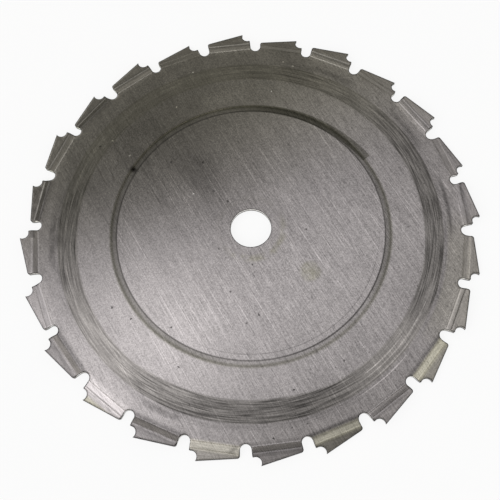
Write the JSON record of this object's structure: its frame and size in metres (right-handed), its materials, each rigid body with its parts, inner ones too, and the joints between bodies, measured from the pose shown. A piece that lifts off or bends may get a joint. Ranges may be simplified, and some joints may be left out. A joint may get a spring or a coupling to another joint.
{
  "type": "clearing saw blade",
  "caption": "Flat round clearing saw blade for a brush cutter, with scooped chisel teeth set to alternate sides, a spindle hole and a rolled tension ring.",
  "frame": {"origin": "middle of the spindle hole, at half the sheet's thickness", "axes": "+Z along the spindle hole towards the side that is seen; +X towards the tip of a tooth that is set towards +Z; the tips point clockwise seen from +Z"},
  "size_m": [0.225, 0.225, 0.004],
  "materials": {
    "blade_steel": "belt-ground sheet steel, oiled and stained"
  },
  "bodies": {
    "root": {"blade": "blade_steel"}
  },
  "joints": []
}
